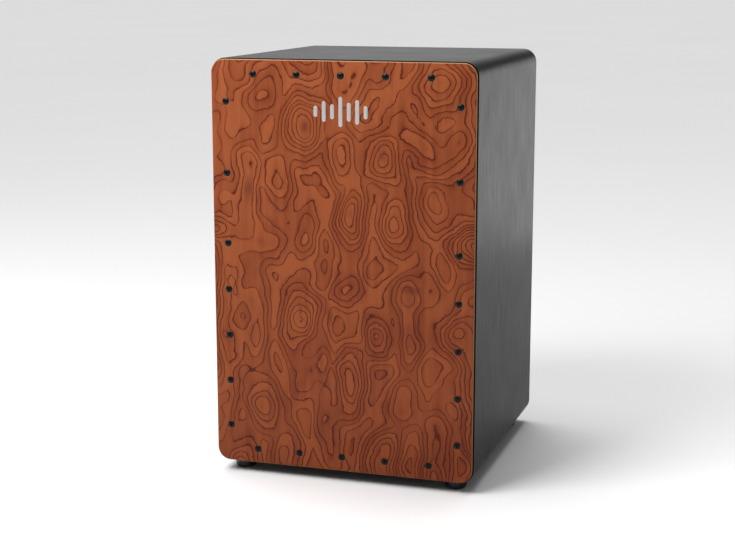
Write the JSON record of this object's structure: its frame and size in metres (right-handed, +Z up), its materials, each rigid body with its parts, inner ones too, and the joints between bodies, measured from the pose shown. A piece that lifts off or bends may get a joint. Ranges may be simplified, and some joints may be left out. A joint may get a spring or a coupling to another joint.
{
  "type": "cajon",
  "caption": "Wooden box drum with a screwed burl front plate, fixed snare wires, a round sound hole in the back and rubber feet.",
  "frame": {"origin": "on the floor, under the middle of the box", "axes": "+Z up, the front plate faces -Y, +X to the right as seen from the front"},
  "size_m": [0.3, 0.3006, 0.468],
  "materials": {
    "burl_plywood": "plywood faced with a printed or cut burl veneer, satin lacquer",
    "black_film_board": "fibreboard wrapped in a black wood-grain film, satin",
    "black_back_board": "thin board painted black, matt",
    "raw_pine": "planed softwood, unfinished",
    "hardwood_bar": "planed hardwood, unfinished",
    "black_screw": "blackened steel, glossy",
    "zinc_steel": "bright zinc plate",
    "snare_steel": "bright steel wire",
    "foot_rubber": "moulded black rubber, semi-matt",
    "silver_foil": "thin silver-grey foil"
  },
  "bodies": {
    "root": {"front_plate": "burl_plywood", "front_badge": "silver_foil", "top_panel": "black_film_board", "bottom_panel": "black_film_board", "left_side_panel": "black_film_board", "right_side_panel": "black_film_board", "back_panel": "black_back_board", "back_screws": "black_screw", "front_screws_top": "black_screw", "front_screws_bottom": "black_screw", "front_screws_left": "black_screw", "front_screws_right": "black_screw", "front_left_batten": "raw_pine", "front_right_batten": "raw_pine", "front_top_batten": "raw_pine", "front_bottom_batten": "raw_pine", "front_left_foot": "foot_rubber", "front_right_foot": "foot_rubber", "rear_left_batten": "raw_pine", "rear_right_batten": "raw_pine", "rear_top_batten": "raw_pine", "rear_bottom_batten": "raw_pine", "rear_left_foot": "foot_rubber", "rear_right_foot": "foot_rubber", "top_left_corner_block": "raw_pine", "top_right_corner_block": "raw_pine", "bottom_left_corner_block": "raw_pine", "bottom_right_corner_block": "raw_pine", "foot_washers": "zinc_steel", "foot_screws": "zinc_steel", "snare_bar": "hardwood_bar", "left_snare_bracket": "zinc_steel", "right_snare_bracket": "zinc_steel", "bracket_screws": "zinc_steel", "left_snare_clamp": "zinc_steel", "right_snare_clamp": "zinc_steel", "snare_clamp_screws": "zinc_steel", "left_snare_wires": "snare_steel", "right_snare_wires": "snare_steel"}
  },
  "joints": []
}
